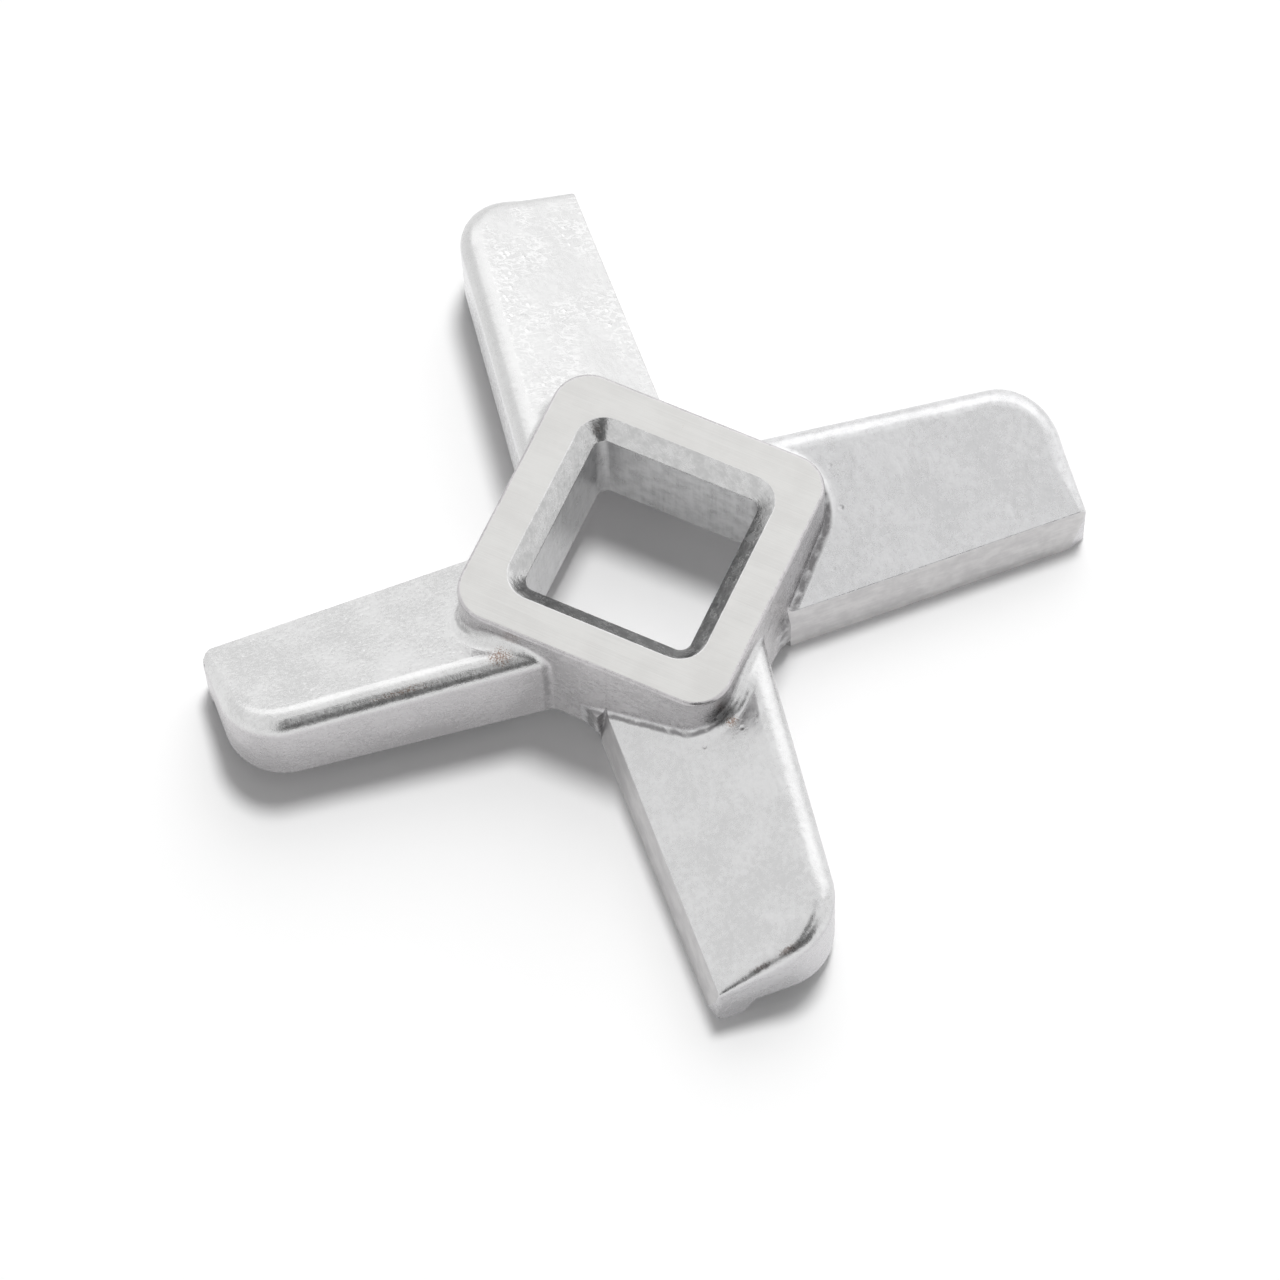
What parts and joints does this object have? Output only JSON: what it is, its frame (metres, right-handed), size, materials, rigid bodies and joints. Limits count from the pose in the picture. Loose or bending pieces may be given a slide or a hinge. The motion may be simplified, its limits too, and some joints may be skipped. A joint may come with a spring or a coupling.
{
  "type": "meat grinder knife",
  "caption": "Cross-shaped grinder knife in cast stainless steel, with wedge blades around a square hub and a square drive hole.",
  "frame": {"origin": "on the axis of the drive hole, in the plane of the cutting lands", "axes": "+Z along the drive hole, from the lands towards the ground hub face; +X and +Y square to the sides of the hub, so the blades run along the diagonals"},
  "size_m": [0.0518, 0.0518, 0.0115],
  "materials": {
    "knife": "satin cast stainless, ground on the hub face and the leading faces"
  },
  "bodies": {
    "root": {"knife": "knife"}
  },
  "joints": []
}
